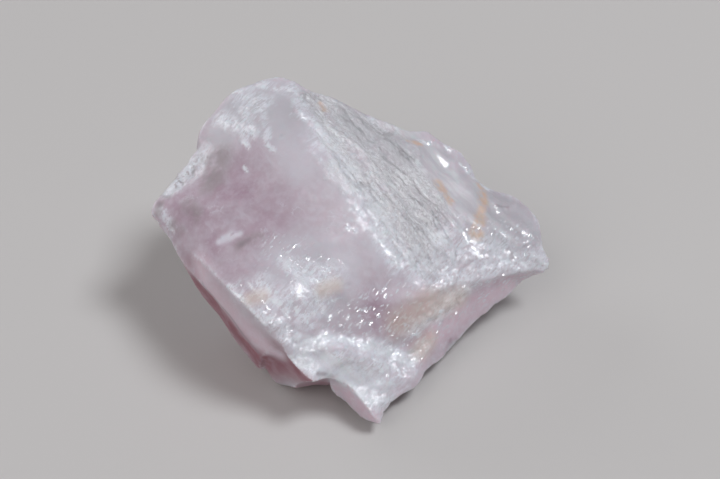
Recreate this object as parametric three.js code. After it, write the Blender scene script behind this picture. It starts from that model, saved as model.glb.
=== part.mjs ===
// A rough chunk of rose quartz, about 66 mm long, as broken from its vein.
// Millimetres, +Z up. It is one piece of mineral, so it is one closed mesh, which
// lies on a small flat spot at z = 0 with its origin at the middle of its outline.
//
// The form starts as a cage: the corners where the breaks of the stone meet, and
// the polygons between them. Each polygon belongs to one break. An edge between
// two breaks is an arris and stays sharp, and everything else is rounded by
// Catmull-Clark subdivision. Relief then gives each break a roughness of its own.

import * as THREE from 'three';
import { ImprovedNoise } from 'three/addons/math/ImprovedNoise.js';

const ROUNDING_LEVELS = 2;
const ROUNDING = 0.6;
const LONGEST_EDGE = 2.15;
const STONE_COLOUR = 0xd9b8c4;
const STONE_ROUGHNESS = 0.45;

// The corners of the cage, each as x, y and z.
const CORNERS = {
  // The rim that is seen from the front, clockwise from the left tip.
  leftTip: [-33, 4.5, 20],
  chipLow: [-31.5, 9, 21.5],
  chipMiddle: [-29.5, 12.5, 23],
  chipHigh: [-26, 15, 25.5],
  neck: [-26, 17.5, 27.5],
  topLeft: [-22, 24, 30.5],
  top: [-15, 25.5, 33],
  topRight: [-10.5, 23, 32.7],
  brinkLeft: [-4.5, 21.2, 30.6],
  brinkRight: [4, 21, 28],
  saddle: [8.5, 20.5, 25.5],
  humpLeft: [14, 21.5, 24],
  humpRight: [19.5, 19, 21.5],
  notch: [22, 16, 18.5],
  lobeLeft: [28.5, 16, 16.5],
  lobeRight: [33, 11.5, 14.5],
  endTop: [35, 5, 12],
  endLow: [34, 3.5, 8],
  sillRight: [29, 2, 6.5],
  sillMiddle: [21.5, -5, 4],
  sillLeft: [15.4, -10.3, 2.5],
  prongRoot: [11.8, -13.8, 3.5],
  prongRight: [8.6, -20.2, 3.5],
  prongTip: [6, -26.4, 2],
  prongLeft: [1.5, -23.6, 1],
  prongHeel: [-3, -19.5, 2.5],
  nook: [-3.5, -21.5, 8.5],
  ledgeTip: [-6, -24, 10],
  scoopRight: [-10, -17, 1],
  scoopLeft: [-13, -16, 1],
  cleft: [-14, -15, 4],
  skirtLow: [-15, -15, 3],
  skirtMiddle: [-19, -11, 5],
  skirtHigh: [-24, -6.5, 10],
  stripLow: [-26.5, -2.5, 14.5],
  bevelStart: [-29.5, 0, 17.5],

  // The large smooth break on the left, and the inner corner of the chip beside it.
  chipInner: [-25, 7, 24.5],
  smoothHigh: [-17, 12.5, 31.5],
  smoothLeft: [-21, 1.5, 25],
  smoothMiddle: [-10.5, 2, 29],
  smoothLow: [-14, -9.5, 22.5],
  smoothRight: [-4, -7.5, 24],
  smoothFoot: [-24, -7, 20],

  // The rounded crest, down which the smooth break turns into the striated one.
  crestTop: [-8.5, 14.5, 34],
  crestHigh: [-3.5, 7, 31],
  crestMiddle: [0.5, 0.5, 27],
  crestLow: [5.5, -3.5, 22],
  crestFoot: [8.5, -6.5, 18],

  // The striated slope and the glassy lumps behind it.
  slopeHigh: [2, 11, 28],
  slopeMiddle: [8.5, 4.5, 23.5],
  slopeLow: [14, 0.5, 18.5],
  lumpMiddle: [13, 13, 23],
  lumpRight: [20, 8, 18.5],
  lumpEnd: [26, 4, 15],

  // The ridge above the pink window, from the right end to the left.
  ridgeEnd: [26.5, 0, 10.5],
  ridgeRight: [19.5, -4, 12.5],
  ridgeMiddle: [13, -8.5, 14.5],
  ridgeLeft: [6.5, -12, 15],
  windowLow: [14, -10, 8.5],

  // The front: cloudy brow, sparkling ledge and prong.
  browLeft: [-8, -15, 19],
  browRight: [0, -12.5, 18.5],
  ledgeLeft: [-7.5, -19.5, 14.5],
  ledgeMiddle: [-1.5, -17.5, 12.5],
  ledgeRight: [5, -17, 9.5],
  ledgeFront: [-4, -21, 11.5],
  prongBack: [4, -19.5, 8],
  prongMiddle: [0, -22.5, 7],
  prongFront: [3, -26, 5],

  // The bevel on the lower left, and the lip of the scoop under the ledge.
  bevelHigh: [-19.5, -13.5, 20],
  bevelMiddle: [-15.5, -17, 18],
  bevelEnd: [-11, -20.5, 14.5],
  bevelEdgeHigh: [-24, -9.5, 16.5],
  bevelEdgeMiddle: [-18, -14.5, 12],
  bevelEdgeLow: [-14.5, -17.5, 8.5],
  scoopLip: [-10, -21, 11.5],

  // The back and the undersides, which the front hides.
  tipUnder: [-26, 5, 11],
  backLeft: [-24, 16, 13],
  backHigh: [-14, 26, 15],
  backRib: [-4, 27.5, 20],
  backMiddle: [-2, 26.5, 10],
  backLow: [12, 25, 10],
  backRight: [24, 17, 8],
  endUnder: [27, 8, 4],

  // The flat spot on which the stone rests.
  restFrontLeft: [-11, -10, 0],
  restFront: [-1, -13, 0],
  restFrontRight: [9, -9, 0],
  restRight: [14, 0, 0],
  restBackRight: [10, 10, 0],
  restBack: [-1, 13, 0],
  restBackLeft: [-10, 8, 0],
  restLeft: [-14, -1, 0],
};

// The breaks of the stone: the polygons of each, with their corners listed
// anticlockwise as seen from outside.
const BREAKS = {
  smooth: [
    'leftTip bevelStart smoothFoot smoothLeft',
    'leftTip smoothLeft chipInner chipLow',
    'chipInner smoothLeft smoothMiddle smoothHigh',
    'chipHigh chipInner smoothHigh neck',
    'neck smoothHigh top topLeft',
    'top smoothHigh crestTop topRight',
    'smoothHigh smoothMiddle crestHigh crestTop',
    'smoothMiddle smoothRight crestMiddle crestHigh',
    'smoothLeft smoothFoot bevelHigh smoothLow',
    'smoothLeft smoothLow smoothRight smoothMiddle',
    'smoothLow bevelHigh bevelMiddle browLeft',
    'smoothLow browLeft browRight smoothRight',
    'smoothRight browRight crestLow crestMiddle',
    'browRight ridgeLeft crestFoot crestLow',
  ],
  chip: [
    'chipLow chipInner chipHigh chipMiddle',
  ],
  striated: [
    'topRight crestTop brinkLeft',
    'brinkLeft crestTop crestHigh slopeHigh',
    'brinkLeft slopeHigh saddle brinkRight',
    'crestHigh crestMiddle slopeMiddle slopeHigh',
    'crestMiddle crestLow slopeLow slopeMiddle',
    'slopeHigh slopeMiddle lumpRight lumpMiddle',
    'crestLow crestFoot slopeLow',
  ],
  glassy: [
    'saddle slopeHigh lumpMiddle humpLeft',
    'humpLeft lumpMiddle humpRight',
    'humpRight lumpMiddle lumpRight notch',
    'notch lumpRight lumpEnd lobeLeft',
    'lobeLeft lumpEnd endTop lobeRight',
  ],
  grainy: [
    'slopeMiddle slopeLow lumpEnd lumpRight',
    'slopeLow ridgeRight ridgeEnd lumpEnd',
    'lumpEnd ridgeEnd endLow endTop',
    'crestFoot ridgeMiddle ridgeRight slopeLow',
    'crestFoot ridgeLeft ridgeMiddle',
  ],
  window: [
    'endLow ridgeEnd sillRight',
    'ridgeEnd ridgeRight sillMiddle sillRight',
    'ridgeRight ridgeMiddle windowLow sillMiddle',
    'windowLow sillLeft sillMiddle',
    'ridgeMiddle ridgeLeft ledgeRight windowLow',
    'browRight ledgeMiddle ledgeRight ridgeLeft',
  ],
  brow: [
    'browLeft ledgeLeft ledgeMiddle browRight',
    'bevelMiddle bevelEnd ledgeLeft browLeft',
  ],
  ledge: [
    'bevelEnd scoopLip ledgeFront ledgeLeft',
    'scoopLip ledgeTip nook ledgeFront',
    'ledgeLeft ledgeFront prongBack ledgeRight ledgeMiddle',
    'ledgeRight prongBack prongRoot windowLow',
    'windowLow prongRoot sillLeft',
  ],
  prongTop: [
    'ledgeFront nook prongMiddle prongBack',
    'prongBack prongMiddle prongFront prongRight',
    'prongFront prongTip prongRight',
    'prongBack prongRight prongRoot',
  ],
  prongSide: [
    'nook prongHeel prongMiddle',
    'prongHeel prongLeft prongFront prongMiddle',
    'prongLeft prongTip prongFront',
  ],
  bevel: [
    'bevelStart bevelEdgeHigh bevelHigh smoothFoot',
    'bevelEdgeHigh bevelEdgeMiddle bevelMiddle bevelHigh',
    'bevelEdgeMiddle bevelEdgeLow bevelEnd bevelMiddle',
  ],
  skirt: [
    'bevelStart stripLow skirtHigh bevelEdgeHigh',
    'bevelEdgeHigh skirtHigh skirtMiddle bevelEdgeMiddle',
    'bevelEdgeMiddle skirtMiddle skirtLow bevelEdgeLow',
  ],
  scoop: [
    'bevelEdgeLow skirtLow cleft',
    'bevelEnd bevelEdgeLow cleft scoopLeft',
    'bevelEnd scoopLeft scoopRight scoopLip',
    'scoopLip scoopRight ledgeTip',
  ],
  underLeft: [
    'leftTip tipUnder stripLow bevelStart',
    'stripLow tipUnder restLeft skirtHigh',
    'skirtHigh restLeft restFrontLeft skirtMiddle',
    'skirtMiddle restFrontLeft skirtLow',
  ],
  underFront: [
    'skirtLow restFrontLeft scoopLeft cleft',
    'restFrontLeft restFront scoopRight scoopLeft',
    'scoopRight restFront nook ledgeTip',
    'restFront prongHeel nook',
    'restFront prongRight prongLeft prongHeel',
    'restFront restFrontRight prongRoot prongRight',
    'prongLeft prongRight prongTip',
  ],
  underRight: [
    'restFrontRight sillLeft prongRoot',
    'restFrontRight restRight sillMiddle sillLeft',
    'restRight endUnder sillRight sillMiddle',
    'restRight restBackRight backRight endUnder',
  ],
  end: [
    'sillRight endUnder endTop endLow',
    'endUnder backRight lobeRight endTop',
    'backRight notch lobeLeft lobeRight',
  ],
  backRightFace: [
    'backLow humpRight notch backRight',
    'backLow saddle humpLeft humpRight',
    'brinkRight saddle backLow backRib',
    'brinkLeft brinkRight backRib topRight',
  ],
  backLeftFace: [
    'topRight backRib backHigh top',
    'backLeft topLeft top backHigh',
    'backLeft chipHigh neck topLeft',
    'tipUnder chipLow chipMiddle chipHigh backLeft',
    'tipUnder leftTip chipLow',
  ],
  underBack: [
    'restBackRight backLow backRight',
    'restBackRight restBack backMiddle backLow',
    'backRib backLow backMiddle',
    'backRib backMiddle backHigh',
    'restBack restBackLeft backHigh backMiddle',
    'restBackLeft backLeft backHigh',
    'restBackLeft restLeft tipUnder backLeft',
  ],
  rest: [
    'restLeft restBackLeft restBack restBackRight restRight restFrontRight restFront restFrontLeft',
  ],
};

// Breaks that run into each other without an arris.
const SOFT_MEETINGS = [
  ['smooth', 'striated'], ['smooth', 'grainy'], ['smooth', 'brow'],
  ['striated', 'glassy'], ['striated', 'grainy'], ['glassy', 'grainy'],
  ['ledge', 'prongTop'], ['end', 'glassy'],
];

// How strongly each kind of relief marks each break, in millimetres from the
// middle of the relief to its crests. The flat spot isn't listed and has none.
const RELIEF = {
  smooth: { swell: 0.45, ripple: 0.07 },
  chip: { scar: 0.3, crumb: 0.35 },
  striated: { swell: 0.25, ridge: 0.45, crumb: 0.1 },
  glassy: { swell: 0.6, scar: 0.35 },
  grainy: { swell: 0.35, crumb: 0.4 },
  window: { swell: 0.3, scar: 0.2 },
  brow: { swell: 0.4, scar: 0.55, crumb: 0.1 },
  ledge: { scar: 0.7, crumb: 0.3 },
  prongTop: { scar: 0.35, crumb: 0.3 },
  prongSide: { scar: 0.25 },
  bevel: { swell: 0.35, ripple: 0.05 },
  skirt: { swell: 0.3, scar: 0.35 },
  scoop: { swell: 0.3, ripple: 0.12 },
  underLeft: { swell: 0.5, scar: 0.5 },
  underFront: { scar: 0.6 },
  underRight: { swell: 0.5, scar: 0.8 },
  end: { swell: 0.5, scar: 0.5 },
  backRightFace: { swell: 0.6, scar: 0.7, ridge: 0.25 },
  backLeftFace: { swell: 0.8, scar: 0.9 },
  underBack: { swell: 0.7, scar: 0.8, crumb: 0.15 },
};

// Above the flat spot, the height by which the relief has its full strength.
const RELIEF_RISE = 2.5;

const SWELL_LENGTH = 11;
const CRUMB_LENGTH = 3.1;
const RIDGE_PITCH = 3.4;
const RIDGE_STRETCH = 9;
const RIDGE_DIRECTION = new THREE.Vector3(0.68, -0.56, -0.47).normalize();
const RIPPLE_PITCH = 5.5;
const RIPPLE_WANDER = 3;
const BLOW_POINT = new THREE.Vector3(-22, 24, 40);
const SCAR_SPACING = 7.5;
const SCAR_SCATTER = 0.45;

const perlin = new ImprovedNoise();

// Smooth noise, from about -1 to 1, whose lumps are as long as is asked.
function noiseAt({ x, y, z }, length, seed) {
  return 1.6 * perlin.noise(x / length + seed, y / length, z / length - seed);
}

// A scar's centre lies somewhere within each cell of a grid.
function scarCentre(cell) {
  return cell.clone().add(new THREE.Vector3(
    noiseAt(cell, 1.37, 2.2),
    noiseAt(cell, 1.61, 4.9),
    noiseAt(cell, 1.83, 7.4),
  ).multiplyScalar(SCAR_SCATTER));
}

// Each kind of relief gives a height from about -1 to 1 at a point of the surface.
const RELIEF_KINDS = {
  // Broad swells and hollows.
  swell: (point) => noiseAt(point, SWELL_LENGTH, 3.7),

  // Rib marks, which spread in rings from where the blow fell.
  ripple: (point) => {
    const radius = point.distanceTo(BLOW_POINT) + RIPPLE_WANDER * noiseAt(point, SWELL_LENGTH, 5.3);
    return Math.sin(2 * Math.PI * radius / RIPPLE_PITCH);
  },

  // Ridges that run down the slope, side by side.
  ridge: (point) => {
    const along = point.dot(RIDGE_DIRECTION);
    const squeezed = point.clone().addScaledVector(RIDGE_DIRECTION, along / RIDGE_STRETCH - along);
    return noiseAt(squeezed, RIDGE_PITCH, 1.9);
  },

  // Crumbly knobs and pits.
  crumb: (point) => noiseAt(point, CRUMB_LENGTH, 6.5),

  // Shallow bowls where flakes came off, with sharp rims where two bowls meet.
  scar: (point) => {
    const place = point.clone().divideScalar(SCAR_SPACING);
    const home = place.clone().floor();
    let nearest = Infinity;
    for (let i = 0; i < 27; i += 1) {
      const step = new THREE.Vector3(i % 3, Math.floor(i / 3) % 3, Math.floor(i / 9));
      nearest = Math.min(nearest, place.distanceToSquared(scarCentre(step.add(home))));
    }
    return 3.2 * nearest - 1;
  },
};

function edgeKey(a, b) {
  return a < b ? `${a} ${b}` : `${b} ${a}`;
}

function middleOf(points) {
  const sum = points.reduce((total, point) => total.add(point), new THREE.Vector3());
  return sum.divideScalar(points.length);
}

function isArris(breakA, breakB) {
  const isSoft = SOFT_MEETINGS.some((pair) => pair.includes(breakA) && pair.includes(breakB));
  return breakA !== breakB && !isSoft;
}

function buildCage() {
  const names = Object.keys(CORNERS);
  const points = names.map((name) => new THREE.Vector3(...CORNERS[name]));
  const faces = Object.entries(BREAKS).flatMap(([breakName, rings]) =>
    rings.map((ring) => ({ breakName, ring: ring.split(' ').map((name) => names.indexOf(name)) })));
  return { points, faces };
}

// Each edge of the faces, with its two ends and the two faces that share it.
function findEdges(faces) {
  const edges = new Map();
  for (const face of faces) {
    face.ring.forEach((start, i) => {
      const end = face.ring[(i + 1) % face.ring.length];
      const key = edgeKey(start, end);
      const edge = edges.get(key) ?? { ends: [start, end], faces: [] };
      edge.faces.push(face);
      edges.set(key, edge);
    });
  }
  return edges;
}

// One round of Catmull-Clark subdivision, in which arrises stay sharp.
function subdivide({ points, faces }) {
  const edges = findEdges(faces);
  const newPoints = points.map((point) => point.clone());
  const addPoint = (point) => newPoints.push(point) - 1;

  for (const face of faces) {
    face.middle = middleOf(face.ring.map((corner) => points[corner]));
    face.middleIndex = addPoint(face.middle);
  }
  for (const edge of edges.values()) {
    const ends = edge.ends.map((end) => points[end]);
    const sides = edge.faces.map((face) => face.middle);
    edge.isSharp = isArris(edge.faces[0].breakName, edge.faces[1].breakName);
    edge.middle = middleOf(ends);
    const rounding = edge.isSharp ? 0 : ROUNDING;
    edge.middleIndex = addPoint(edge.middle.clone().lerp(middleOf([...ends, ...sides]), rounding));
  }

  points.forEach((point, corner) => {
    const around = [...edges.values()].filter((edge) => edge.ends.includes(corner));
    const sharp = around.filter((edge) => edge.isSharp);
    if (sharp.length === 2) {
      newPoints[corner].lerp(middleOf(sharp.map((edge) => edge.middle)), ROUNDING / 2);
    } else if (sharp.length < 2) {
      const touching = faces.filter((face) => face.ring.includes(corner));
      const rounded = point.clone()
        .multiplyScalar(around.length - 3)
        .add(middleOf(touching.map((face) => face.middle)))
        .addScaledVector(middleOf(around.map((edge) => edge.middle)), 2)
        .divideScalar(around.length);
      newPoints[corner].lerp(rounded, ROUNDING);
    }
  });

  const newFaces = faces.flatMap(({ breakName, ring, middleIndex }) => ring.map((corner, i) => {
    const before = ring[(i + ring.length - 1) % ring.length];
    const after = ring[(i + 1) % ring.length];
    const edgeBefore = edges.get(edgeKey(before, corner)).middleIndex;
    const edgeAfter = edges.get(edgeKey(corner, after)).middleIndex;
    return { breakName, ring: [corner, edgeAfter, middleIndex, edgeBefore] };
  }));
  return { points: newPoints, faces: newFaces };
}

// Parts each four-sided face along its shorter diagonal.
function triangulate({ points, faces }) {
  const triangles = faces.flatMap(({ breakName, ring: [a, b, c, d] }) => {
    const rings = points[a].distanceTo(points[c]) < points[b].distanceTo(points[d])
      ? [[a, b, c], [a, c, d]]
      : [[a, b, d], [b, c, d]];
    return rings.map((ring) => ({ breakName, ring }));
  });
  return { points, faces: triangles };
}

// Halves each edge that is too long and the longest of both triangles beside it.
function halveLongEdges({ points, faces }) {
  const longestOf = new Map();
  for (const edge of findEdges(faces).values()) {
    edge.length = points[edge.ends[0]].distanceTo(points[edge.ends[1]]);
    for (const face of edge.faces) {
      if (edge.length > (longestOf.get(face)?.length ?? 0)) {
        longestOf.set(face, edge);
      }
    }
  }

  const newPoints = [...points];
  const newFaces = faces.flatMap((face) => {
    const edge = longestOf.get(face);
    if (edge.length < LONGEST_EDGE || edge.faces.some((side) => longestOf.get(side) !== edge)) {
      return [face];
    }
    edge.middleIndex ??= newPoints.push(middleOf(edge.ends.map((end) => points[end]))) - 1;
    const apexPlace = face.ring.findIndex((corner) => !edge.ends.includes(corner));
    const [apex, start, end] = [0, 1, 2].map((i) => face.ring[(apexPlace + i) % 3]);
    return [
      { breakName: face.breakName, ring: [apex, start, edge.middleIndex] },
      { breakName: face.breakName, ring: [apex, edge.middleIndex, end] },
    ];
  });
  return { points: newPoints, faces: newFaces };
}

function refine(mesh) {
  const refined = halveLongEdges(mesh);
  return refined.points.length === mesh.points.length ? mesh : refine(refined);
}

function reliefOf(breakName, point) {
  const strengths = Object.entries(RELIEF[breakName] ?? {});
  return strengths.reduce((total, [kind, strength]) => total + strength * RELIEF_KINDS[kind](point), 0);
}

// Moves each point in or out by the mean relief of the breaks that meet there.
function addRelief({ points, faces }) {
  const triangle = new THREE.Triangle();
  const normals = points.map(() => new THREE.Vector3());
  const reliefs = points.map(() => []);
  for (const { breakName, ring } of faces) {
    triangle.set(...ring.map((corner) => points[corner]));
    const normal = triangle.getNormal(new THREE.Vector3()).multiplyScalar(triangle.getArea());
    for (const corner of ring) {
      normals[corner].add(normal);
      reliefs[corner].push(reliefOf(breakName, points[corner]));
    }
  }

  const raised = points.map((point, i) => {
    const relief = reliefs[i].reduce((total, value) => total + value, 0) / reliefs[i].length;
    const strength = THREE.MathUtils.smoothstep(point.z, 0, RELIEF_RISE);
    return point.clone().addScaledVector(normals[i].normalize(), strength * relief);
  });
  return { points: raised, faces };
}

function makeGeometry({ points, faces }) {
  const geometry = new THREE.BufferGeometry().setFromPoints(points);
  geometry.setIndex(faces.flatMap((face) => face.ring));
  geometry.computeBoundingBox();
  const { min, max } = geometry.boundingBox;
  geometry.translate(-(min.x + max.x) / 2, -(min.y + max.y) / 2, -min.z);
  geometry.computeVertexNormals();
  return geometry;
}

function makeStone() {
  let mesh = buildCage();
  for (let level = 0; level < ROUNDING_LEVELS; level += 1) {
    mesh = subdivide(mesh);
  }
  mesh = addRelief(refine(triangulate(mesh)));
  const material = new THREE.MeshStandardMaterial({
    color: STONE_COLOUR,
    roughness: STONE_ROUGHNESS,
    metalness: 0,
  });
  const stone = new THREE.Mesh(makeGeometry(mesh), material);
  stone.name = 'rose_quartz';
  return stone;
}

export default new THREE.Group().add(makeStone());
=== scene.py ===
# The finish of a rough chunk of rose quartz: its broken surface, its milky pink
# mineral with frosted and sugary breaks, iron stains and smudges, and a plain studio.
# Sizes are in millimetres unless said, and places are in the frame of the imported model.

import itertools
import math

import bmesh
import bpy
import numpy as np
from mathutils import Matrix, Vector, noise
from mathutils.bvhtree import BVHTree


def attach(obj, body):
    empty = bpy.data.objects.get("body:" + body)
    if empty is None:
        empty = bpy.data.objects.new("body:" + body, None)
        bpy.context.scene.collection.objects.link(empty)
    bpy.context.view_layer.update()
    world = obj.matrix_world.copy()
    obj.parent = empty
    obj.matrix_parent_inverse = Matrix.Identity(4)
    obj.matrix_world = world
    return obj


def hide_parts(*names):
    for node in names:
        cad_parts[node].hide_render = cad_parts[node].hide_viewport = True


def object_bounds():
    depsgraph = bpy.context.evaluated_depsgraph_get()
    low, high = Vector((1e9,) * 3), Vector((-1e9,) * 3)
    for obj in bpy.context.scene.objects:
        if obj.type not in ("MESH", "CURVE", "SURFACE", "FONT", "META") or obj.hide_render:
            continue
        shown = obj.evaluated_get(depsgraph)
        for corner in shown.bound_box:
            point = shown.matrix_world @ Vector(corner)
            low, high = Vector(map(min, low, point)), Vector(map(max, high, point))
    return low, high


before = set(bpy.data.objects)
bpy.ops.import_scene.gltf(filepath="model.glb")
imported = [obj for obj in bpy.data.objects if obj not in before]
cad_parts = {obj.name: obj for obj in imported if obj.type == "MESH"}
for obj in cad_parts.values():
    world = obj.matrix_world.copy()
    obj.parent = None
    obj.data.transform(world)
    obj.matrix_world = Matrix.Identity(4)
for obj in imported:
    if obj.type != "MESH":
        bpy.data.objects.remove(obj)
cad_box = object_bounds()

MM = 0.001
NODE = "rose_quartz"

# The welding of the solid's corners, the even mesh made of it, and the planing that gives that mesh
# flat breaks with crisp arrises between them.
WELD = 0.001
VOXEL = 0.33
FACING_ROUNDS = 30
BREAK_ANGLE = math.radians(20)
PLANING_ROUNDS = 60
PLANING_STRENGTH = 0.5

# An arris is where the surface turns by about this angle from one vertex to the next. Its weight is
# spread over a few vertices and raised, and the surface is rounded a little where it is high.
ARRIS_ANGLE = math.radians(16)
ARRIS_SPREAD = 3
ARRIS_CONTRAST = 3
ARRIS_ROUNDS = 6
ARRIS_SOFTNESS = 0.5

# Near what the stone rests on, the relief fades out below REST_MARGIN and is none below the share
# REST_FLAT of that height, and arrises are softened only above REST_ARRIS.
REST_MARGIN = 2.0
REST_FLAT = 0.05
REST_ARRIS = 0.5

# Two places are on one break if the cosine of the angle between the ways they face is as high as the
# second number, and on different breaks below the first.
OTHER_BREAK = 0.6
SAME_BREAK = 0.8

# How far areas and tints reach, in half widths of their lines, and what stands in for the square of
# the length of a line that is a single point.
AREA_REACH = 1.5
TINT_REACH = 1.5
SINGLE_POINT = 1e-9

# Smooth lumps: for each layer its height, its size and its seed.
EDGE_LUMPS = ((0.5, 2.5, 3.1), (0.35, 0.9, 5.7))
GLASSY_LUMPS = ((0.4, 2.3, 2),)
SATIN_LUMPS = ((0.35, 1.8, 9),)
PLAIN_LUMPS = ((0.05, 3.0, 6), (0.015, 1.0, 8))
NIBBLES = ((1.0, 1.4, 11), (0.5, 7, 12))

# Crystal grains: for each layer its strength, its size, how much its faces tilt and dome, and its seed.
SUGAR_GRAINS = ((0.5, 2.4, 0.5, 0.4, 0), (0.6, 1.0, 0.7, 0.55, 7))
SPLINTER_GRAINS = ((0.65, 1.4, 0.6, 0.5, 2),)
HAIR_GRAINS = ((0.5, 0.8, 0.6, 0.5, 4),)
BREAK_GRAINS = ((0.7, 6, 0.35, 0.25, 3),)

# Numbers that scramble the corner of a grain's cell into its own centre and tilt.
CENTRE_SHUFFLE = np.array(((12.9, 78.2, 37.7), (93.1, 67.3, 24.6), (43.3, 29.1, 81.8)))
TILT_SHUFFLE = np.array(((53.7, 18.4, 91.3), (27.6, 71.9, 33.2), (64.5, 45.8, 16.1)))
SCRAMBLE = 997

# The direction in which the striations run down the slope, and how long for their width they are.
STRIATION = Vector((0.68, -0.56, -0.47)).normalized()
SPLINTER_RATIO = 4
HAIR_RATIO = 6
SILK_RATIO = 6

# How far the carved striations wander off their line, over which size, and the seeds of that.
WANDER = 0.8
WANDER_SIZE = 3
WANDER_SEEDS = (21, 22, 23)

# How much of the relief is lost at an arris, how deep an arris is nibbled, and how much of that
# is lost where the break is clear.
ARRIS_FADE = 0.6
NIBBLE_DEPTH = 0.25
CLEAR_FADE = 0.7

# How much of an arris's frost is lost under the painted shade.
PAINTED_SHADE_FADE = 0.7

# The camera of the photograph, and how near to it things are seen.
CAMERA_TARGET = (1.0, 1.5, 16.0)
CAMERA_ELEVATION = math.radians(42)
CAMERA_DISTANCE = 250.0
CAMERA_LENS = 75.0
CAMERA_NEAREST = 10.0
SENSOR_WIDTH = 36.0

# The picture the stone was seen in. A point with two numbers below is a place in this picture, in
# pixels from its top left corner; a point with three numbers is a place on the stone, in millimetres.
PICTURE_WIDTH = 720
PICTURE_HEIGHT = 479

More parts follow.
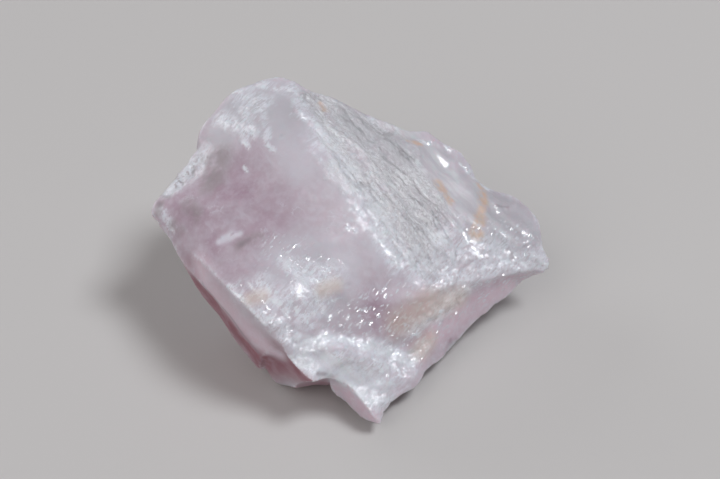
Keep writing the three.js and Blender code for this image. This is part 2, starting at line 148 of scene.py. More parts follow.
# Where each kind of surface lies: lines through the middle of its area, with its half width in mm.
AREAS = {
    # The steep bright slope of hair-fine splinters, and the splintery breaks at the back.
    "striated": [
        ((308, 98), (352, 168), 2.0),
        ((330, 103), (420, 225), 4.2),
        ((366, 118), (430, 205), 3.2),
        ((345, 165), (425, 256), 3.0),
        ((400, 180), (438, 246), 2.6),
        ((5, 26, 22), (16, 21, 13), 5),
        ((-24, 14, 12), (-8, 22, 8), 4.5),
    ],
    # The smoother slope beside it and the silky middle of the low ledge, with soft streaks.
    "satin": [
        ((405, 140), (460, 215), 3.2),
        ((430, 160), (472, 225), 3.2),
        ((470, 195), (505, 246), 3.0),
        ((318, 362), (375, 388), 3.0),
    ],
    # Sparkling grain like coarse sugar.
    "sugary": [
        ((440, 256), (478, 256), 1.9),
        ((424, 268), (446, 262), 2.2),
        ((436, 281), (488, 270), 1.7),
        ((488, 270), (536, 264), 1.4),
        ((478, 256), (536, 262), 2.2),
        ((412, 330), (462, 292), 1.6),
        ((300, 348), (326, 339), 1.5),
        ((326, 339), (372, 348), 1.2),
        ((372, 348), (412, 362), 1.6),
        ((412, 362), (424, 346), 1.2),
        ((298, 356), (312, 366), 1.4),
        ((362, 392), (384, 400), 1.6),
        ((362, 398), (386, 404), 2.0),
        ((262, 316), (294, 340), 1.6),
        ((172, 188), (202, 158), 2.0),
        ((-14, 25, 17), (-2, 26, 12), 5),
        ((18, 4, 2), (22, 14, 7), 5),
        ((-20, 4, 6), (-14, 12, 5), 5),
    ],
    # Fine white frosting without grain.
    "frosted": [
        ((238, 92), (262, 104), 2.0),
        ((262, 84), (290, 92), 1.1),
        ((262, 98), (268, 138), 0.7),
        ((244, 104), (250, 138), 1.0),
        ((222, 118), (252, 132), 1.4),
        ((290, 88), (322, 140), 1.3),
        ((322, 140), (400, 262), 2.4),
        ((400, 254), (428, 276), 2.4),
        ((232, 292), (262, 316), 1.6),
        ((318, 290), (306, 318), 2.2),
        ((292, 300), (330, 278), 2.2),
        ((262, 290), (300, 310), 2.4),
        ((340, 362), (395, 372), 2.6),
        ((540, 250), (546, 264), 1.2),
        ((440, 240), (500, 250), 2.4),
        ((160, 208), (172, 230), 0.9),
        ((284, 262), (312, 270), 1.2),
        ((298, 264), (300, 285), 1.0),
    ],
    # The large face that broke smooth and clear.
    "clear": [
        ((178, 208), (262, 275), 14),
        ((225, 130), (300, 240), 14),
        ((300, 150), (385, 265), 12),
        ((262, 88), (265, 130), 9),
        ((340, 290), (385, 305), 6),
        ((420, 345), (530, 272), 10),
        ((345, 388), (375, 415), 6),
        ((190, 250), (262, 350), 6),
        ((215, 310), (262, 362), 6),
        ((268, 362), (315, 378), 7),
        ((261, 360), (264, 364), 1.5),
        ((156, 208), (175, 235), 5),
        ((532, 215), (547, 262), 4),
        ((400, 135), (470, 170), 5),
    ],
    # Single crystals that glitter here and there: glossy faces, and painted white as glints.
    "sprinkled": [
        ((398, 342), (470, 286), 5),
        ((340, 325), (400, 300), 3),
        ((470, 290), (530, 270), 4),
        ((235, 295), (320, 300), 2.5),
        ((440, 240), (530, 250), 4),
        ((238, 98), (256, 128), 2),
        ((280, 256), (325, 285), 3),
        ((312, 110), (425, 262), 3),
    ],
    # Smooth rounded lumps with a glassy skin.
    "glassy": [
        ((398, 135), (440, 150), 2.6),
        ((420, 140), (472, 178), 3.6),
        ((492, 190), (530, 222), 2.6),
        ((500, 215), (542, 250), 2.8),
    ],
    # Iron stains.
    "rust": [
        ((438, 184), (446, 194), 0.9),
        ((446, 194), (451, 203), 0.6),
        ((481, 188), (484, 202), 0.9),
        ((484, 202), (480, 216), 0.8),
        ((480, 216), (477, 234), 1.1),
        ((319, 104), (325, 110), 0.6),
        ((408, 142), (420, 144), 0.5),
    ],
    # Small breaks that flash in the light: glossy faces, and painted glints of near white.
    "gloss_and_painted_glint": [
        ((244, 142), (249, 147), 0.4),
        ((267, 144), (273, 150), 0.4),
        ((244, 167), (247, 171), 0.3),
        ((298, 275), (304, 279), 0.6),
        ((284, 262), (288, 270), 0.5),
        ((347, 227), (354, 231), 0.5),
        ((384, 243), (398, 262), 0.5),
        ((372, 228), (380, 240), 0.4),
        ((400, 250), (420, 270), 0.5),
        ((356, 206), (362, 216), 0.4),
        ((318, 132), (324, 142), 0.4),
        ((300, 112), (306, 120), 0.4),
        ((228, 288), (233, 293), 0.6),
        ((446, 146), (448, 148), 0.5),
        ((460, 164), (463, 166), 0.3),
        ((467, 169), (473, 175), 0.6),
        ((482, 183), (488, 188), 0.8),
        ((541, 260), (545, 264), 0.8),
        ((300, 346), (318, 339), 0.5),
        ((325, 337), (350, 341), 0.5),
        ((355, 343), (375, 348), 0.5),
        ((380, 351), (395, 356), 0.5),
        ((398, 358), (412, 364), 0.5),
        ((330, 375), (345, 386), 0.6),
        ((350, 388), (365, 399), 0.6),
        ((290, 358), (296, 364), 0.5),
        ((302, 360), (306, 363), 0.8),
        ((405, 325), (408, 326), 0.3),
        ((413, 335), (416, 334), 0.3),
        ((427, 320), (431, 319), 0.3),
        ((440, 312), (443, 310), 0.3),
        ((446, 256), (452, 258), 0.4),
        ((470, 250), (478, 253), 0.4),
        ((500, 258), (508, 262), 0.4),
        ((520, 262), (526, 266), 0.4),
        ((420, 141), (430, 143), 0.5),
        ((168, 192), (178, 181), 0.9),
        ((184, 175), (198, 160), 0.9),
    ],
}

# Soft changes of colour inside the stone, and painted shade on its shaded breaks, given in the same way.
TINTS = {
    # Where the pink is deeper.
    "pink": [
        ((180, 215), (215, 250), 8),
        ((235, 185), (262, 255), 8),
        ((372, 305), (398, 325), 3.5),
        ((410, 335), (450, 325), 4),
        ((470, 300), (520, 282), 3),
        ((-20, 10, 8), (-10, 20, 10), 9),
        ((10, 22, 10), (22, 12, 6), 8),
        ((0, 26, 10), (10, 24, 14), 6),
        ((-22, 6, 12), (-12, 20, 16), 7),
    ],
    # Where the pink is paler.
    "blush": [
        ((200, 268), (258, 340), 2.6),
        ((258, 340), (278, 354), 1.9),
        ((440, 330), (530, 276), 3),
        ((345, 392), (378, 420), 3),
    ],
    # Painted shade: a dark dusky pink on the deep breaks that lie in shade.
    "rose": [
        ((200, 285), (258, 360), 5),
        ((262, 356), (310, 380), 5),
        ((261, 360), (264, 364), 1.5),
        ((-20, -10, 6), (-10, -16, 3), 5),
        ((-8, -14, 3), (0, -18, 3), 5),
    ],
    # Milky clouds.
    "cloud": [
        ((312, 130), (385, 250), 3.5),
        ((285, 262), (325, 290), 3.5),
        ((250, 96), (285, 90), 4),
        ((270, 120), (300, 170), 3),
        ((410, 140), (470, 176), 4),
        ((535, 235), (545, 260), 3),
        ((300, 348), (400, 362), 3),
        ((335, 374), (380, 396), 3),
        ((235, 100), (262, 90), 4),
        ((225, 132), (255, 108), 4),
        ((282, 268), (325, 290), 5),
        ((300, 250), (340, 262), 4),
        ((-20, 15, 20), (-6, 18, 24), 6),
        ((10, 20, 12), (20, 14, 8), 5),
    ],
    # Grey-brown smudges.
    "smudge": [
        ((220, 156), (212, 184), 2.6),
        ((214, 160), (212, 176), 1.6),
        ((240, 245), (250, 239), 1.1),
        ((250, 239), (259, 237), 0.9),
        ((160, 203), (158, 212), 1.0),
        ((174, 226), (180, 231), 1.2),
        ((188, 207), (196, 216), 1.7),
        ((166, 196), (176, 187), 0.8),
        ((182, 180), (200, 161), 0.8),
    ],
    # Fine dark cracks.
    "crack": [
        ((203, 284), (214, 297), 0.35),
        ((214, 297), (238, 327), 0.35),
        ((238, 327), (258, 352), 0.35),
        ((494, 206), (508, 208), 0.2),
        ((241, 245), (249, 240), 0.5),
        ((318, 374), (326, 374), 0.4),
        ((177, 178), (183, 183), 0.4),
        ((196, 157), (201, 160), 0.4),
        ((164, 196), (170, 198), 0.4),
        ((159, 203), (161, 206), 0.4),
    ],
    # Warm tints of thin iron films.
    "warm": [
        ((400, 322), (428, 306), 3),
        ((428, 306), (458, 298), 2.5),
        ((322, 290), (335, 285), 1.4),
        ((250, 299), (262, 296), 1.3),
        ((420, 350), (430, 340), 2),
    ],
    # Greyer, less milky lumps.
    "grey": [
        ((492, 200), (520, 235), 5),
        ((480, 210), (500, 245), 4),
        ((350, 120), (400, 150), 4),
        ((515, 215), (535, 245), 4),
        ((245, 108), (290, 112), 6),
    ],
    # White patches: in the middle of the smooth face, and on the low ledge.
    "patch": [
        ((219, 242), (224, 239), 0.6),
        ((224, 239), (231, 236), 1.0),
        ((231, 236), (240, 234), 0.6),
        ((304, 345), (330, 341), 1.3),
        ((330, 341), (372, 348), 1.2),
        ((372, 348), (408, 360), 1.4),
        ((302, 358), (312, 364), 1.6),
        ((354, 388), (378, 402), 0.9),
        ((322, 364), (372, 388), 1.6),
    ],
}

# Colours of the mineral, and of the shade and glints painted on it, as linear red, green, blue.
MILKY = (0.61, 0.54, 0.60, 1)
PINK = (0.45, 0.32, 0.40, 1)
BLUSH = (0.73, 0.59, 0.67, 1)
# Painted shade: the dark dusky pink of the shaded breaks.
PAINTED_SHADE_ROSE = (0.31, 0.12, 0.155, 1)
CLOUD = (0.66, 0.64, 0.70, 1)
# The white of frost, veils and patches, also painted on as glints.
FROST_AND_GLINT_WHITE = (0.88, 0.92, 1.0, 1)
SLOPE = (0.94, 0.96, 1.0, 1)
SLOPE_DARK = (0.60, 0.59, 0.63, 1)
SATIN = (0.76, 0.77, 0.80, 1)
SATIN_DARK = (0.62, 0.60, 0.65, 1)
SMUDGE = (0.36, 0.31, 0.33, 1)
CRACK = (0.30, 0.26, 0.29, 1)
RUST = (0.78, 0.50, 0.30, 1)
WARM = (0.76, 0.62, 0.52, 1)
GREY = (0.52, 0.52, 0.56, 1)
MATRIX = (0.60, 0.55, 0.61, 1)

# Cloudy noise: its size, detail and roughness, and the levels between which it rises from 0 to 1.
CLOUDY = {
    "depths": (7, 4, 0.55, 0.36, 0.66),
    "veils": (2.5, 2, 0.55, 0.42, 0.72),
    "mottling": (1.3, 4, 0.6, 0.35, 0.7),
    "fibres": (1.8, 4, 0.6, 0.5, 0.72),
    "healed": (5, 2, 0.55, 0.45, 0.65),
    "cracks": (2.7, 2, 0.55, 0.45, 0.6),
    "silk": (1.6, 3, 0.55, 0.4, 0.62),
    "specks": (0.6, 3, 0.6, 0.35, 0.65),
    "patch": (1.2, 2, 0.5, 0.1, 0.45),
    "smudge": (2.5, 3, 0.55, 0.25, 0.6),
    "rust": (1.2, 4, 0.55, 0.25, 0.65),
    "gloss_and_painted_glint": (0.7, 2, 0.6, 0.36, 0.5),
}

# Thin lines along the middle level of a noise: its size, and how far from that level they reach. They
# are at their strongest within a share of that, their core.
THIN_LINES = {
    "healed": (4, 0.02),
    "cracks": (1.5, 0.022),
    "hairs": (0.9, 0.05),
    "tangle": (1.0, 0.045),
    "wisps": (1.4, 0.05),
}
LINE_LEVEL = 0.5
LINE_CORE = 0.25
LINE_DETAIL = 4
LINE_ROUGHNESS = 0.6

# How strongly each kind of cloud, line and area shows in the colour.
STRENGTH = {
    "depths": 0.12,
    "veils": 0.25,
    "mottling": 0.17,
    "fibres": 0.22,
    "healed": 0.3,
    "cracks": 0.3,
    "hairs": 0.65,
    "tangle": 0.9,
    "wisps": 0.8,
    "cloud": 0.8,
    "satin": 0.8,
    "striated": 0.9,
    "grey": 0.6,
    "sugary": 0.6,
    "patch": 0.6,
    "warm": 0.5,
    "smudge": 0.75,
    "crack": 0.6,
    "rust": 0.6,
    "gloss_and_painted_glint": 0.8,
}

# How much frost arrises have, how white single crystals are painted as glints, and how much each area
# glitters.
ARRIS_FROST = 0.7
CRYSTAL_PAINTED_GLINT = 0.8
GLITTER = {"sugary": 1.0, "frosted": 0.6, "arris": 0.5, "striated": 0.6}

# Shares that rise from the first number to the second: of pink with the depths, of specks with the
# glint of the crystals, of frost with the specks, and of fine grain with the glitter.
PINK_SHARE = (0.5, 0.9)
SPECK_SHARE = (0.35, 1.25)
FROST_SHARE = (0.15, 0.95)
GRAIN_SHARE = (0.02, 0.30)

# Streaks in the material: the size of their wandering, how far they wander, and how long for their
# width they are. The tangled hairs wander more.
STREAKS = (3, 0.9, 7)
TANGLE = (2, 3, 3)

# Crystals are drawn out in one direction. Where there is more frosting than the limit they give way
# to flakes along the streaks. Of the sprinkled crystals only those with more glint than the limit show.
GRAIN = Vector((0.64, 0.72, 0.27)).normalized()
CRYSTAL_RATIO = 2.8
CRYSTAL_SIZE = 0.28
FLAKE_SIZE = 0.8
FLAKE_LIMIT = 0.5
GLINT_LIMIT = 0.8

# The random colour of a crystal whose face isn't turned, off the middle so that most turn upwards,
# and how far the faces in glittering areas turn.
LEVEL_CRYSTAL = (0.45, 0.58, 0.35)
CRYSTAL_TURN = 0.7

# The finest relief.
FINE_SIZE = 0.5
FINE_DETAIL = 5
GRAIN_ROUGHNESS = 0.6
HAIR_ROUGHNESS = 0.65
CRACK_DEPTH = 0.5
BUMP_HEIGHT = 0.45

# How light behaves in the mineral and on its faces. The pairs go from the plain surface to the
# glassy one, and from the clear mineral to the dry and frosted one.
ROUGHNESS = (0.52, 0.40)
SCATTERING = (0.8, 0.2)
SCATTERING_DEPTH = 1.7
SCATTERING_COLOUR = (1.0, 0.62, 0.7)
QUARTZ_IOR = 1.544
FACE_GLOSS = 0.9
GLASSY_GLOSS = 0.45
FACE_ROUGHNESS = 0.1
FACE_IOR = 2.1

# The studio: places and sizes in metres, and power in watts.
LIGHTS = {
    "window": {"place": (0.90, 0.0, 1.65), "size": 0.6, "power": 17.5, "colour": (0.95, 0.97, 1.0)},
    "fill": {"place": (-1.35, -1.4, 1.8), "size": 2.4, "power": 19, "colour": (1.0, 0.96, 0.95)},
    "back_light": {"place": (-1.4, 1.0, 0.6), "size": 0.9, "power": 6, "colour": (0.97, 0.98, 1.0)},
}
ROOM_COLOUR = (0.86, 0.81, 0.82, 1)
ROOM_STRENGTH = 0.22
FLOOR_SIZE = 3
FLOOR_COLOUR = (0.62, 0.61, 0.60, 1)
FLOOR_ROUGHNESS = 0.7


def camera_pose():
    """Where the camera of the photograph stood, and how it was turned."""
    target = Vector(CAMERA_TARGET) * MM
    back = Vector((0, -math.cos(CAMERA_ELEVATION), math.sin(CAMERA_ELEVATION)))
    return target + back * CAMERA_DISTANCE * MM, (-back).to_track_quat("-Z", "Y")


def on_stone(point, facets):
    """The place of a point in mm; one with two numbers is where that point of the picture is."""
    if len(point) == 3:
        return np.array(point, float)
    place, turn = camera_pose()
    pixel = SENSOR_WIDTH / PICTURE_WIDTH
    across = (point[0] - PICTURE_WIDTH / 2) * pixel
    up = (PICTURE_HEIGHT / 2 - point[1]) * pixel
    hit = facets.ray_cast(place, turn @ Vector((across, up, -CAMERA_LENS)))[0]
    if hit is None:
        raise ValueError(f"the stone isn't seen at {point}")
    return np.array(hit) / MM


def places_of(mesh):
    places = np.empty(len(mesh.vertices) * 3)
    mesh.vertices.foreach_get("co", places)
    return places.reshape(-1, 3) / MM


def set_places(mesh, places):
    mesh.vertices.foreach_set("co", (places * MM).ravel())
    mesh.update()


def normals_of(mesh):
    normals = np.empty(len(mesh.vertices) * 3)
    mesh.vertices.foreach_get("normal", normals)
    return normals.reshape(-1, 3)


def neighbours_of(mesh):
    """The two ends of every edge, and the same ends the other way round."""
    edges = np.empty(len(mesh.edges) * 2, int)
    mesh.edges.foreach_get("vertices", edges)
    edges = edges.reshape(-1, 2)
    return np.concatenate([edges, edges[:, ::-1]])


def welded_copy(node):
    """A copy of the node's solid in which the corners of its facets are joined."""
    solid = bmesh.new()
    solid.from_mesh(node.data)
    bmesh.ops.remove_doubles(solid, verts=solid.verts, dist=WELD * MM)
    mesh = bpy.data.meshes.new("stone_surface")
    solid.to_mesh(mesh)
    solid.free()
    return mesh


def apply_modifiers(piece):
    depsgraph = bpy.context.evaluated_depsgraph_get()
    mesh = bpy.data.meshes.new_from_object(piece.evaluated_get(depsgraph))
    piece.modifiers.clear()
    piece.data = mesh


def make_piece(node):
    """The solid again, as an even mesh fine enough to carve, and a tree of the solid's facets."""
    piece = bpy.data.objects.new("stone_surface", welded_copy(node))
    bpy.context.scene.collection.objects.link(piece)
    facets = BVHTree.FromObject(piece, bpy.context.evaluated_depsgraph_get())
    remesh = piece.modifiers.new("even_mesh", "REMESH")
    remesh.mode = "VOXEL"
    remesh.voxel_size = VOXEL * MM
    apply_modifiers(piece)
    return piece, facets


def neighbour_mean(values, pairs):
    """For each vertex, the mean of the values given for the edges that leave it."""
    count = np.bincount(pairs[:, 0])
    sums = [np.bincount(pairs[:, 0], column) for column in np.atleast_2d(values.T)]
    return (np.array(sums) / count).T


def likeness(facing, pairs, angle):
    """1 for edges whose ends face the same way, down to 0 where they turn by more than the angle."""
    turn = np.arccos(np.clip((facing[pairs[:, 0]] * facing[pairs[:, 1]]).sum(1), -1, 1))
    return np.exp(-2 * (turn / angle) ** 2)


def facing_of_breaks(places, pairs, facets):
    """The way the break around each vertex faces, evened out within the break but not across arrises."""
    facing = np.array([facets.find_nearest(Vector(place) * MM)[1] for place in places])
    for _ in range(FACING_ROUNDS):
        alike = likeness(facing, pairs, BREAK_ANGLE)
        facing += neighbour_mean(facing[pairs[:, 1]] * alike[:, None], pairs)
        facing /= np.linalg.norm(facing, axis=1, keepdims=True)
    return facing


def planed(places, pairs, facing):
    """The places moved into the planes in which their neighbours face."""
    for _ in range(PLANING_ROUNDS):
        height = (facing[pairs[:, 1]] * (places[pairs[:, 1]] - places[pairs[:, 0]])).sum(1)
        shift = neighbour_mean(facing[pairs[:, 1]] * height[:, None], pairs)
        places = places + PLANING_STRENGTH * shift
    return places


def nearness_to_arris(facing, pairs):
    """1 on an arris, and 0 a few vertices from it."""
    arris = 1 - neighbour_mean(likeness(facing, pairs, ARRIS_ANGLE), pairs).ravel()
    for _ in range(ARRIS_SPREAD):
        arris = (arris + neighbour_mean(arris[pairs[:, 1]], pairs).ravel()) / 2
    return np.clip(arris * ARRIS_CONTRAST, 0, 1)


def softened(places, pairs, arris):
    """The places with their arrises rounded a little, but not what the stone rests on."""
    for _ in range(ARRIS_ROUNDS):
        shift = neighbour_mean(places[pairs[:, 1]], pairs) - places
        places = places + ARRIS_SOFTNESS * arris[:, None] * shift * (places[:, 2:] > REST_ARRIS)
    return places


def plane_breaks(mesh, facets):
    """Planes away the solid's small facets, and gives how vertices face and how near arrises they are."""
    pairs = neighbours_of(mesh)
    places = places_of(mesh)
    facing = facing_of_breaks(places, pairs, facets)
    arris = nearness_to_arris(facing, pairs)
    set_places(mesh, softened(planed(places, pairs, facing), pairs, arris))
    return facing, arris


def nearest(places, point):
    return ((places - point) ** 2).sum(1).argmin()


def distance_to_line(places, start, end):
    squared = max((end - start) @ (end - start), SINGLE_POINT)
    along = np.clip((places - start) @ (end - start) / squared, 0, 1)
    return np.linalg.norm(places - start - along[:, None] * (end - start), axis=1)


def reach(places, facing, line, facets):
    """How far places are from a line, in half widths, and 1 where they face as it does, else down to 0."""
    start, end = on_stone(line[0], facets), on_stone(line[1], facets)
    alike = [facing @ facing[nearest(places, point)] for point in (start, end, (start + end) / 2)]
    same_break = np.clip((np.max(alike, axis=0) - OTHER_BREAK) / (SAME_BREAK - OTHER_BREAK), 0, 1)
    return distance_to_line(places, start, end) / line[2], same_break


def area_weight(places, facing, lines, facets, edge):
    """1 close to the area's lines, 0.5 at their half width and 0 further out, with an uneven edge."""
    weight = np.zeros(len(places))
    for line in lines:
        distance, same_break = reach(places, facing, line, facets)
        weight = np.maximum(weight, same_break * np.clip(AREA_REACH - distance + edge, 0, 1))
    return weight


def tint_weight(places, facing, lines, facets):
    """1 on the tint's lines, fading softly to 0 where its reach ends."""
    untinted = np.ones(len(places))
    for line in lines:
        distance, same_break = reach(places, facing, line, facets)
        untinted *= 1 - same_break * np.clip(1 - (distance / TINT_REACH) ** 2, 0, 1) ** 2
    return 1 - untinted


def lumps(places, layers):
    """The sum of layers of smooth noise."""
    total = np.zeros(len(places))
    for height, size, seed in layers:
        total += height * np.array([noise.noise(place) for place in (places / size + seed).tolist()])
    return total


def drawn_out(places, ratio):
    """The places squeezed along the striations, so that relief there is drawn out into streaks."""
    direction = np.array(STRIATION)
    return places - np.outer(places @ direction * (1 - 1 / ratio), direction)


def steady_random(corners, shuffle):
    """Three numbers from 0 to 1 for each corner, always the same for that corner."""
    return np.modf(np.abs(np.sin(corners @ shuffle + 1)) * SCRAMBLE)[0]


def grain_layer(places, size, tilt, dome, seed):
    """Crystal grains: faces with centres and tilts of their own, which meet in creases."""
    inside = places / size + seed
    corners = np.floor(inside)
    heights = np.full(len(places), -np.inf)
    for step in itertools.product((-1, 0, 1), repeat=3):
        corner = corners + step
        offset = inside - corner - steady_random(corner, CENTRE_SHUFFLE)
        tilts = 2 * steady_random(corner, TILT_SHUFFLE) - 1
        height = tilt * (offset * tilts).sum(1) - dome * (offset ** 2).sum(1)
        heights = np.maximum(heights, height)
    return size * (heights - heights.mean())


def grains(places, layers):
    """The sum of layers of crystal grains."""
    return sum(strength * grain_layer(places, *shape) for strength, *shape in layers)


def relief_of(places, areas, arris):
    """How far each place is carved out of its break, or stands proud of it."""
    wander = np.stack([lumps(places, ((WANDER, WANDER_SIZE, seed),)) for seed in WANDER_SEEDS], axis=1)
    splinters = grains(drawn_out(places + wander, SPLINTER_RATIO), SPLINTER_GRAINS)
    hairs = grains(drawn_out(places + wander, HAIR_RATIO), HAIR_GRAINS)
    kinds = ("sugary", "striated", "glassy", "satin")
    plain = np.clip(1 - sum(areas[name] for name in kinds), 0, 1)

    relief = areas["sugary"] * grains(places, SUGAR_GRAINS)
    relief += areas["striated"] * (splinters + hairs)
    relief += areas["glassy"] * lumps(places, GLASSY_LUMPS)
    relief += areas["satin"] * lumps(drawn_out(places, SILK_RATIO), SATIN_LUMPS)
    relief += plain * (1 - areas["clear"]) * grains(places, BREAK_GRAINS)
    relief += plain * lumps(places, PLAIN_LUMPS)
    relief *= 1 - ARRIS_FADE * arris
    nibbled = np.clip(lumps(places, NIBBLES), 0, 1)
    relief -= NIBBLE_DEPTH * arris * (1 - CLEAR_FADE * areas["clear"]) * nibbled
    above_rest = np.clip(places[:, 2] / REST_MARGIN, 0, 1)
    return np.where(above_rest < REST_FLAT, 0, relief * above_rest)


def add_attribute(mesh, name, values):
    attribute = mesh.attributes.new(name, "FLOAT", "POINT")
    attribute.data.foreach_set("value", values.astype(np.float32))


def carve(mesh, facets, facing, arris):
    """Gives each area of the surface its own relief, and stores the areas for the material."""
    places = places_of(mesh)
    edge = lumps(places, EDGE_LUMPS)
    areas = {name: area_weight(places, facing, lines, facets, edge) for name, lines in AREAS.items()}
    tints = {name: tint_weight(places, facing, lines, facets) for name, lines in TINTS.items()}
    lowest, highest = np.array(cad_box) / MM
    carved = places + normals_of(mesh) * relief_of(places, areas, arris)[:, None]
    set_places(mesh, np.clip(carved, lowest, highest))

    # A pale break keeps its colour where it meets the painted shade, and the painted shade has little
    # frost.
    tints["rose"] *= 1 - tints["blush"]
    bare_arris = arris * (1 - PAINTED_SHADE_FADE * tints["rose"])
    for name, weight in {**areas, **tints, "arris": bare_arris}.items():
        add_attribute(mesh, name, weight)


class Nodes:
    """Adds nodes to a material and links them, a line for each node."""

    def __init__(self, name):
        self.material = bpy.data.materials.new(name)
        self.material.use_nodes = True
        self.tree = self.material.node_tree
        self.shader = self.tree.nodes["Principled BSDF"]

    def add(self, kind, settings=None, **inputs):
        node = self.tree.nodes.new(kind)
        for name, value in (settings or {}).items():
            setattr(node, name, value)
        for name, value in inputs.items():
            self.join(value, self.find(node, name))
        return node

    def find(self, node, name):
        """An input by its name in small letters, or by its place in the list as in_2."""
        if name.startswith("in_"):
            return node.inputs[int(name[3:])]
        wanted = name.replace("_", " ")
        return next(socket for socket in node.inputs if socket.name.lower() == wanted and socket.enabled)

    def join(self, value, socket):
        if isinstance(value, bpy.types.NodeSocket):
            self.tree.links.new(value, socket)
        else:
            socket.default_value = value

    def area(self, name):
        return self.add("ShaderNodeAttribute", {"attribute_name": name}).outputs["Fac"]

    def math(self, operation, a, b=0.0, clamp=False):
        node = self.add("ShaderNodeMath", {"operation": operation, "use_clamp": clamp}, in_0=a, in_1=b)
        return node.outputs[0]

    def times(self, a, b):
        return self.math("MULTIPLY", a, b)

    def most(self, first, *others):
        for other in others:
            first = self.math("MAXIMUM", first, other)
        return first

    def between(self, value, ends):
        """From the first of the ends, where the value is 0, to the second, where it is 1."""
        return self.math("ADD", self.times(value, ends[1] - ends[0]), ends[0])

    def vector(self, operation, a, b):
        return self.add("ShaderNodeVectorMath", {"operation": operation}, in_0=a, in_1=b).outputs[0]

    def scaled(self, vector, share):
        node = self.add("ShaderNodeVectorMath", {"operation": "SCALE"}, in_0=vector, scale=share)
        return node.outputs[0]

    def mix(self, factor, a, b):
        node = self.add("ShaderNodeMix", {"data_type": "RGBA"}, in_0=factor, in_6=a, in_7=b)
        return node.outputs[2]

    def noise(self, place, size, detail, roughness):
        inputs = {"scale": 1 / (size * MM), "detail": detail, "roughness": roughness}
        return self.add("ShaderNodeTexNoise", vector=place, **inputs).outputs["Fac"]

    def cells(self, place, size):
        """A random colour for each of many small cells."""
        return self.add("ShaderNodeTexVoronoi", vector=place, scale=1 / (size * MM)).outputs["Color"]

    def ramp(self, value, low, high):
        node = self.add("ShaderNodeMapRange", {"interpolation_type": "SMOOTHSTEP"}, value=value)
        node.inputs["From Min"].default_value = low
        node.inputs["From Max"].default_value = high
        return node.outputs["Result"]


class StoneNodes(Nodes):
    """Nodes with the places and crystals that the stone's colour and gloss are worked out from."""

    def __init__(self, name):
        super().__init__(name)
        self.place = self.add("ShaderNodeTexCoord").outputs["Object"]
        self.streaks = self.streaked(*STREAKS)
        self.tangle = self.streaked(*TANGLE)
        self.grain = self.squeezed(self.place, GRAIN, CRYSTAL_RATIO)
        flaky = self.math("GREATER_THAN", self.area("frosted"), FLAKE_LIMIT)
        small_crystals = self.cells(self.grain, CRYSTAL_SIZE)
        self.crystals = self.mix(flaky, small_crystals, self.cells(self.streaks, FLAKE_SIZE))
        self.glint = self.add("ShaderNodeSeparateColor", in_0=self.crystals).outputs[2]

    def squeezed(self, place, direction, ratio):
        """The place in axes of which the first runs in the direction and is squeezed."""
        across = direction.orthogonal().normalized()
        parts = []
        for axis, share in ((direction, 1 / ratio), (across, 1), (direction.cross(across), 1)):
            product = {"operation": "DOT_PRODUCT"}
            node = self.add("ShaderNodeVectorMath", product, in_0=place, in_1=axis * share)
            parts.append(node.outputs["Value"])
        return self.add("ShaderNodeCombineXYZ", in_0=parts[0], in_1=parts[1], in_2=parts[2]).outputs[0]

    def streaked(self, size, distance, ratio):
        """A place in which noise is drawn out along the striations, which wander by up to a distance."""
        shift = self.add("ShaderNodeTexNoise", vector=self.place, scale=1 / (size * MM)).outputs["Color"]
        wandered = self.vector("ADD", self.place, self.scaled(shift, distance * MM))
        return self.squeezed(wandered, STRIATION, ratio)

    def cloudy(self, name, place):
        """The noise of that name, from 0 to 1."""
        size, detail, roughness, low, high = CLOUDY[name]
        return self.ramp(self.noise(place, size, detail, roughness), low, high)

    def thin_lines(self, name, place):
        """1 on thin winding lines, and 0 between them."""
        size, width = THIN_LINES[name]
        level = self.math("SUBTRACT", self.noise(place, size, LINE_DETAIL, LINE_ROUGHNESS), LINE_LEVEL)
        return self.ramp(self.math("ABSOLUTE", level), width, width * LINE_CORE)

    def shown(self, name, value):
        return self.times(value, STRENGTH[name])

    def cover(self, colour, name, over, share=1.0):
        """The colour with another over it in the area of that name, or in a share of it."""
        return self.mix(self.shown(name, self.times(self.area(name), share)), colour, over)


def open_cracks(nodes):
    """Open cracks along the striations, here and there."""
    return nodes.times(nodes.thin_lines("cracks", nodes.streaks), nodes.cloudy("cracks", nodes.streaks))


def single_crystals(nodes):
    """The crystals that glitter by themselves in the sprinkled areas."""
    return nodes.times(nodes.area("sprinkled"), nodes.math("GREATER_THAN", nodes.glint, GLINT_LIMIT))


def glossy_and_painted_glints(nodes):
    """The flashing breaks, with ragged edges: glossy in the coat, and painted near white as glints."""
    return nodes.times(nodes.area("gloss_and_painted_glint"), nodes.cloudy("gloss_and_painted_glint", nodes.place))


def inner_veils(nodes):
    """Faint milky veils, fibres and healed cracks inside the clear breaks."""
    healed = nodes.times(nodes.thin_lines("healed", nodes.place), nodes.cloudy("healed", nodes.place))
    mottling = nodes.shown("mottling", nodes.cloudy("mottling", nodes.place))
    fibres = nodes.shown("fibres", nodes.cloudy("fibres", nodes.streaks))
    return nodes.times(nodes.area("clear"), nodes.most(nodes.shown("healed", healed), mottling, fibres))


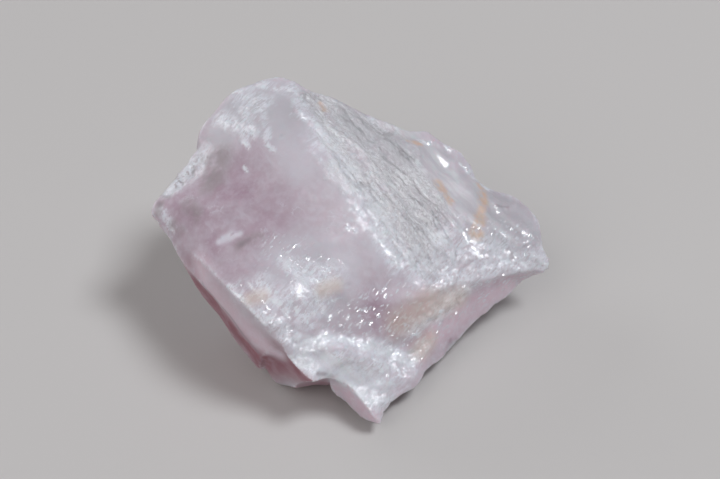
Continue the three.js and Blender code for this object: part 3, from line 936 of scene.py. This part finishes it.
def inner_colour(nodes):
    """The milky mineral itself, with its pink depths and white clouds, and painted shade in dark dusky
    pink.
    """
    depths = nodes.cloudy("depths", nodes.place)
    pink = nodes.times(nodes.area("pink"), nodes.between(depths, PINK_SHARE))
    colour = nodes.mix(nodes.math("ADD", pink, nodes.shown("depths", depths)), MILKY, PINK)
    colour = nodes.mix(nodes.area("blush"), colour, BLUSH)
    colour = nodes.mix(inner_veils(nodes), colour, FROST_AND_GLINT_WHITE)
    # Painted shade: dark dusky pink over the shaded breaks.
    colour = nodes.mix(nodes.area("rose"), colour, PAINTED_SHADE_ROSE)
    veils = nodes.shown("veils", nodes.cloudy("veils", nodes.place))
    cloud = nodes.math("ADD", nodes.area("cloud"), veils, clamp=True)
    return nodes.mix(nodes.shown("cloud", cloud), colour, CLOUD)


def slope_colour(nodes):
    """The bright splinters of the slope, with dark hairs and open cracks between them."""
    hairs = nodes.shown("hairs", nodes.thin_lines("hairs", nodes.streaks))
    tangle = nodes.shown("tangle", nodes.thin_lines("tangle", nodes.tangle))
    haired = nodes.mix(nodes.most(hairs, tangle), SLOPE, SLOPE_DARK)
    return nodes.mix(nodes.shown("cracks", open_cracks(nodes)), haired, CRACK)


def surface_colour(nodes, colour):
    """The colour with that of each kind of break over it."""
    silk = nodes.mix(nodes.cloudy("silk", nodes.streaks), SATIN_DARK, SATIN)
    colour = nodes.cover(colour, "satin", silk)
    colour = nodes.cover(colour, "striated", slope_colour(nodes))
    colour = nodes.cover(colour, "grey", GREY)
    colour = nodes.cover(colour, "sugary", MATRIX)
    return nodes.cover(colour, "patch", FROST_AND_GLINT_WHITE, nodes.cloudy("patch", nodes.place))


def frost_and_painted_glints(nodes):
    """How white the surface is with frost, which is made of fine specks and wisps, and with painted
    glints.
    """
    bright = nodes.between(nodes.glint, SPECK_SHARE)
    specks = nodes.math("MULTIPLY", nodes.cloudy("specks", nodes.grain), bright, clamp=True)
    wisps = nodes.shown("wisps", nodes.thin_lines("wisps", nodes.grain))
    arris = nodes.times(nodes.area("arris"), ARRIS_FROST)
    # Painted glints: single glittering crystals painted white.
    crystals = nodes.times(single_crystals(nodes), CRYSTAL_PAINTED_GLINT)
    frosted = nodes.most(nodes.area("frosted"), nodes.area("sugary"), arris, crystals)
    return nodes.times(frosted, nodes.between(nodes.most(specks, wisps), FROST_SHARE))


def stained_colour(nodes, colour):
    """The colour with smudges, cracks and iron stains over it."""
    colour = nodes.cover(colour, "warm", WARM)
    colour = nodes.cover(colour, "smudge", SMUDGE, nodes.cloudy("smudge", nodes.place))
    colour = nodes.cover(colour, "crack", CRACK)
    return nodes.cover(colour, "rust", RUST, nodes.cloudy("rust", nodes.place))


def stone_colour(nodes):
    colour = surface_colour(nodes, inner_colour(nodes))
    colour = nodes.mix(frost_and_painted_glints(nodes), colour, FROST_AND_GLINT_WHITE)
    colour = stained_colour(nodes, colour)
    # Painted glints: the flashing breaks painted near white.
    return nodes.mix(nodes.shown("gloss_and_painted_glint", glossy_and_painted_glints(nodes)), colour, FROST_AND_GLINT_WHITE)


def glitter(nodes):
    """How much of the surface is made of small crystal faces."""
    shares = [nodes.times(nodes.area(name), share) for name, share in GLITTER.items()]
    return nodes.most(glossy_and_painted_glints(nodes), single_crystals(nodes), *shares)


def fine_relief(nodes, glittering):
    """The normals of fine grain, and of hair-fine striations on the splintery slope."""
    grain = nodes.noise(nodes.place, FINE_SIZE, FINE_DETAIL, GRAIN_ROUGHNESS)
    grain = nodes.times(grain, nodes.between(glittering, GRAIN_SHARE))
    hairs = nodes.noise(nodes.streaks, FINE_SIZE, FINE_DETAIL, HAIR_ROUGHNESS)
    slope = nodes.math("SUBTRACT", hairs, nodes.times(open_cracks(nodes), CRACK_DEPTH))
    height = nodes.math("ADD", grain, nodes.times(slope, nodes.area("striated")))
    return nodes.add("ShaderNodeBump", distance=BUMP_HEIGHT * MM, height=height).outputs[0]


def crystal_faces(nodes, normal, glittering):
    """The normals turned at random, crystal by crystal, and more often upwards."""
    share = nodes.math("ADD", nodes.times(glittering, CRYSTAL_TURN), single_crystals(nodes))
    turn = nodes.scaled(nodes.vector("SUBTRACT", nodes.crystals, LEVEL_CRYSTAL), share)
    turned = nodes.vector("ADD", normal, turn)
    return nodes.add("ShaderNodeVectorMath", {"operation": "NORMALIZE"}, in_0=turned).outputs[0]


def make_material():
    nodes = StoneNodes("rose_quartz")
    glittering = glitter(nodes)
    relief = fine_relief(nodes, glittering)
    glassy = nodes.area("glassy")
    glossy = nodes.most(glittering, nodes.times(glassy, GLASSY_GLOSS))
    dry = nodes.most(nodes.area("striated"), glittering)
    inputs = nodes.shader.inputs
    nodes.join(stone_colour(nodes), inputs["Base Color"])
    nodes.join(relief, inputs["Normal"])
    nodes.join(nodes.between(glassy, ROUGHNESS), inputs["Roughness"])
    nodes.join(nodes.between(dry, SCATTERING), inputs["Subsurface Weight"])
    nodes.join(nodes.times(glossy, FACE_GLOSS), inputs["Coat Weight"])
    nodes.join(crystal_faces(nodes, relief, glittering), inputs["Coat Normal"])
    inputs["IOR"].default_value = QUARTZ_IOR
    inputs["Subsurface Radius"].default_value = SCATTERING_COLOUR
    inputs["Subsurface Scale"].default_value = SCATTERING_DEPTH * MM
    inputs["Coat Roughness"].default_value = FACE_ROUGHNESS
    inputs["Coat IOR"].default_value = FACE_IOR
    return nodes.material


def make_stone():
    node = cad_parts[NODE]
    piece, facets = make_piece(node)
    facing, arris = plane_breaks(piece.data, facets)
    carve(piece.data, facets, facing, arris)
    piece.data.materials.clear()
    piece.data.materials.append(make_material())
    for polygon in piece.data.polygons:
        polygon.use_smooth = True
    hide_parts(NODE)
    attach(piece, "root")


def make_floor():
    bpy.ops.mesh.primitive_plane_add(size=FLOOR_SIZE)
    floor = bpy.context.object
    floor.name = "floor"
    material = bpy.data.materials.new("floor")
    material.use_nodes = True
    shader = material.node_tree.nodes["Principled BSDF"]
    shader.inputs["Base Color"].default_value = FLOOR_COLOUR
    shader.inputs["Roughness"].default_value = FLOOR_ROUGHNESS
    floor.data.materials.append(material)


def add_light(name, place, size, power, colour):
    lamp = bpy.data.lights.new(name, "AREA")
    lamp.size = size
    lamp.energy = power
    lamp.color = colour
    light = bpy.data.objects.new(name, lamp)
    bpy.context.scene.collection.objects.link(light)
    light.location = place
    towards_stone = Vector(CAMERA_TARGET) * MM - light.location
    light.rotation_euler = towards_stone.to_track_quat("-Z", "Y").to_euler()


def light_scene():
    for name, settings in LIGHTS.items():
        add_light(name, **settings)
    world = bpy.data.worlds.new("studio")
    world.use_nodes = True
    background = world.node_tree.nodes["Background"]
    background.inputs["Color"].default_value = ROOM_COLOUR
    background.inputs["Strength"].default_value = ROOM_STRENGTH
    bpy.context.scene.world = world
    bpy.context.scene.view_settings.view_transform = "Standard"


def place_camera():
    camera = bpy.data.objects.new("camera", bpy.data.cameras.new("camera"))
    bpy.context.scene.collection.objects.link(camera)
    camera.data.lens = CAMERA_LENS
    camera.data.sensor_width = SENSOR_WIDTH
    camera.data.clip_start = CAMERA_NEAREST * MM
    place, turn = camera_pose()
    camera.location = place
    camera.rotation_euler = turn.to_euler()
    bpy.context.scene.camera = camera


place_camera()
make_stone()
make_floor()
light_scene()
